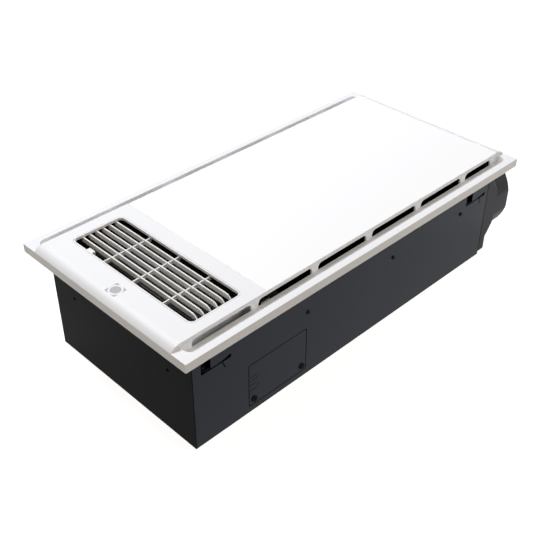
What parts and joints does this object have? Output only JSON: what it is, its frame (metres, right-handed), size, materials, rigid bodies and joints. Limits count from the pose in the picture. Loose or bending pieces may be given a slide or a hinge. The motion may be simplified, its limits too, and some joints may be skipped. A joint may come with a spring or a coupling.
{
  "type": "bathroom heater",
  "caption": "Recessed ceiling bathroom heater: lit panel with slotted sides and a bladed warm-air outlet on a flat steel box with a round duct spigot",
  "frame": {"origin": "on the box's flat back face, under the panel's centre", "axes": "+Z out of the panel, which is down into the room once it hangs; +X to the duct end; -Y to the long side with the wiring cover"},
  "size_m": [0.6284, 0.3, 0.162],
  "materials": {
    "white_abs": "satin moulded",
    "opal_sheet": "matt opal",
    "white_steel": "matt powder coat",
    "board": "solder resist",
    "grey_window": "satin",
    "zinc": "zinc plated",
    "black_coat": "fine powder coat",
    "black_screw": "black oxide",
    "dark_plastic": "moulded",
    "ivory_plastic": "moulded",
    "pale_plastic": "moulded",
    "rubber": "moulded",
    "fin_aluminium": "bare foil"
  },
  "bodies": {
    "heater": {"panel_frame": "white_abs", "outlet_grille": "white_abs", "light_diffuser": "opal_sheet", "light_tray": "white_steel", "led_strips": "board", "led_driver": "zinc", "receiver_window": "grey_window", "corner_lights": "opal_sheet", "receiver_board": "board", "panel_clips": "zinc", "housing_shell": "black_coat", "near_end_plate": "black_coat", "far_end_plate": "black_coat", "body_screws": "black_screw", "duct_adapter": "dark_plastic", "flap_pin": "zinc", "terminal_cover": "black_coat", "terminal_screws": "black_screw", "wiring_box": "dark_plastic", "terminal_block": "ivory_plastic", "cable_clamp": "dark_plastic", "control_tray": "dark_plastic", "control_board": "board", "lug_brackets": "zinc", "lug_screws": "zinc", "scroll_case": "dark_plastic", "scroll_cover": "dark_plastic", "fan_motor": "zinc", "motor_plate": "zinc", "motor_grommets": "rubber", "motor_studs": "zinc", "motor_nuts": "zinc", "run_capacitor": "ivory_plastic", "heat_damper_motor": "zinc", "exhaust_damper_motor": "zinc", "outlet_duct": "pale_plastic", "core_frame": "dark_plastic", "heater_core": "fin_aluminium", "thermal_cutout": "ivory_plastic"},
    "fan_rotor": {"fan_wheel": "dark_plastic", "wheel_nut": "zinc", "motor_shaft": "zinc"},
    "heat_damper": {"heat_damper": "dark_plastic"},
    "exhaust_damper": {"exhaust_damper": "dark_plastic"},
    "flap_left": {"flap_left": "dark_plastic"},
    "flap_right": {"flap_right": "dark_plastic"},
    "grille_latch": {"grille_latch": "white_abs"},
    "lug_1": {"lug_1": "black_coat"},
    "lug_2": {"lug_2": "black_coat"},
    "lug_3": {"lug_3": "black_coat"},
    "lug_4": {"lug_4": "black_coat"}
  },
  "joints": [
    {"name": "fan_spin", "type": "hinge", "parent": "heater", "child": "fan_rotor", "pos_m": [0.125, 0, 0.056], "axis": [0, 0, 1], "continuous": true},
    {"name": "heat_damper_turn", "type": "hinge", "parent": "heater", "child": "heat_damper", "pos_m": [0.034, 0.05348, 0.056], "axis": [0, 0, -1], "range_deg": [0, 90]},
    {"name": "exhaust_damper_turn", "type": "hinge", "parent": "heater", "child": "exhaust_damper", "pos_m": [0.216, -0.05348, 0.056], "axis": [0, 0, 1], "range_deg": [0, 90]},
    {"name": "flap_left_swing", "type": "hinge", "parent": "heater", "child": "flap_left", "pos_m": [0.303, -0.0637, 0.071], "axis": [0, 0, 1], "range_deg": [0, 80], "stiffness_Nm_per_rad": 0.002, "springref_deg": -17.19},
    {"name": "flap_right_swing", "type": "hinge", "parent": "heater", "child": "flap_right", "pos_m": [0.303, -0.0637, 0.071], "axis": [0, 0, -1], "range_deg": [0, 80], "stiffness_Nm_per_rad": 0.002, "springref_deg": -17.19},
    {"name": "latch_slide", "type": "slide", "parent": "heater", "child": "grille_latch", "axis": [-1, 0, 0], "range_m": [0, 0.0093]},
    {"name": "lug_1_swing", "type": "hinge", "parent": "heater", "child": "lug_1", "pos_m": [-0.258, -0.123, 0.1062], "axis": [0, 0, -1], "range_deg": [0, 90]},
    {"name": "lug_2_swing", "type": "hinge", "parent": "heater", "child": "lug_2", "pos_m": [0.2247, -0.123, 0.1062], "axis": [0, 0, -1], "range_deg": [0, 90]},
    {"name": "lug_3_swing", "type": "hinge", "parent": "heater", "child": "lug_3", "pos_m": [0.258, 0.123, 0.1062], "axis": [0, 0, -1], "range_deg": [0, 90]},
    {"name": "lug_4_swing", "type": "hinge", "parent": "heater", "child": "lug_4", "pos_m": [-0.2247, 0.123, 0.1062], "axis": [0, 0, -1], "range_deg": [0, 90]}
  ],
  "couplings": [
    {"joint": "exhaust_damper_turn", "follows": "heat_damper_turn", "ratio": 1}
  ]
}
